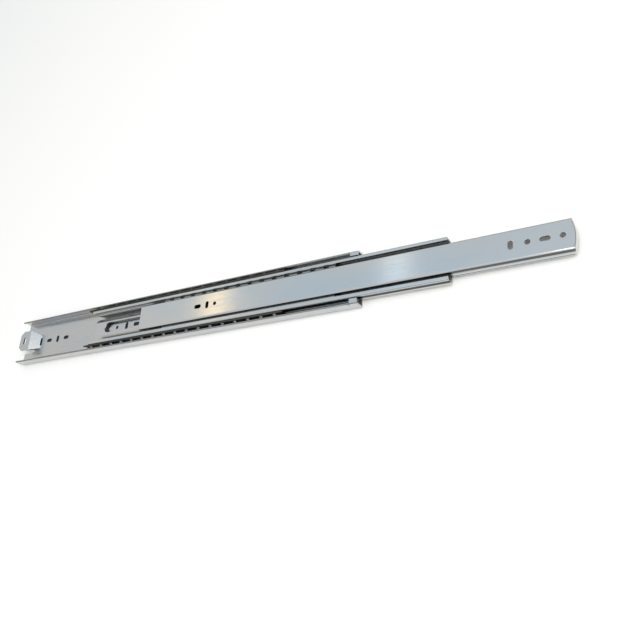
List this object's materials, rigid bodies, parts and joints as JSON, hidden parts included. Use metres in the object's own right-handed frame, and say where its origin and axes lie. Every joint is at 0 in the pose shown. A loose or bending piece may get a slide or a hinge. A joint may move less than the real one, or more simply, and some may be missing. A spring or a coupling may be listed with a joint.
{
  "type": "cabinet drawer slide",
  "caption": "Side-mounted telescopic ball-bearing drawer slide with nested steel channels, ball cages, stops and slotted screw holes, drawn partly open.",
  "frame": {"origin": "centre of the cabinet member's back face, on the cabinet wall", "axes": "+X the way the drawer opens, +Y across the slide's height, +Z from the cabinet wall to the drawer"},
  "size_m": [0.925, 0.0762, 0.0191],
  "materials": {
    "zinc_steel": "bright zinc plating on cold rolled sheet",
    "cage_steel": "zinc plated strip",
    "dark_cage": "dark phosphated and oiled strip",
    "ball_steel": "polished bearing balls",
    "rivet_steel": "headed rivets",
    "grey_plastic": "moulded slate grey",
    "buffer_rubber": "dark rubber",
    "nylon": "natural nylon"
  },
  "bodies": {
    "cabinet_member": {"outer_member": "zinc_steel", "stop_pin": "rivet_steel"},
    "outer_cages": {"outer_cage_upper": "dark_cage", "outer_cage_lower": "dark_cage", "outer_balls_upper": "ball_steel", "outer_balls_lower": "ball_steel"},
    "intermediate": {"intermediate_member": "zinc_steel", "front_bumper": "grey_plastic", "front_buffer": "buffer_rubber", "open_stop": "buffer_rubber", "open_stop_rivet": "rivet_steel"},
    "inner_cages": {"inner_cage_upper": "cage_steel", "inner_cage_lower": "cage_steel", "inner_balls_upper": "ball_steel", "inner_balls_lower": "ball_steel"},
    "drawer_member": {"inner_member": "zinc_steel", "inner_stop": "nylon"}
  },
  "joints": [
    {"name": "intermediate_slide", "type": "slide", "parent": "cabinet_member", "child": "intermediate", "axis": [1, 0, 0], "range_m": [-0.113, 0.2]},
    {"name": "drawer_slide", "type": "slide", "parent": "intermediate", "child": "drawer_member", "axis": [1, 0, 0], "range_m": [-0.137, 0.212]},
    {"name": "outer_cage_slide", "type": "slide", "parent": "cabinet_member", "child": "outer_cages", "axis": [1, 0, 0], "range_m": [-0.0565, 0.1]},
    {"name": "inner_cage_slide", "type": "slide", "parent": "intermediate", "child": "inner_cages", "axis": [1, 0, 0], "range_m": [-0.0685, 0.106]}
  ],
  "couplings": [
    {"joint": "outer_cage_slide", "follows": "intermediate_slide", "ratio": 0.5},
    {"joint": "inner_cage_slide", "follows": "drawer_slide", "ratio": 0.5}
  ]
}
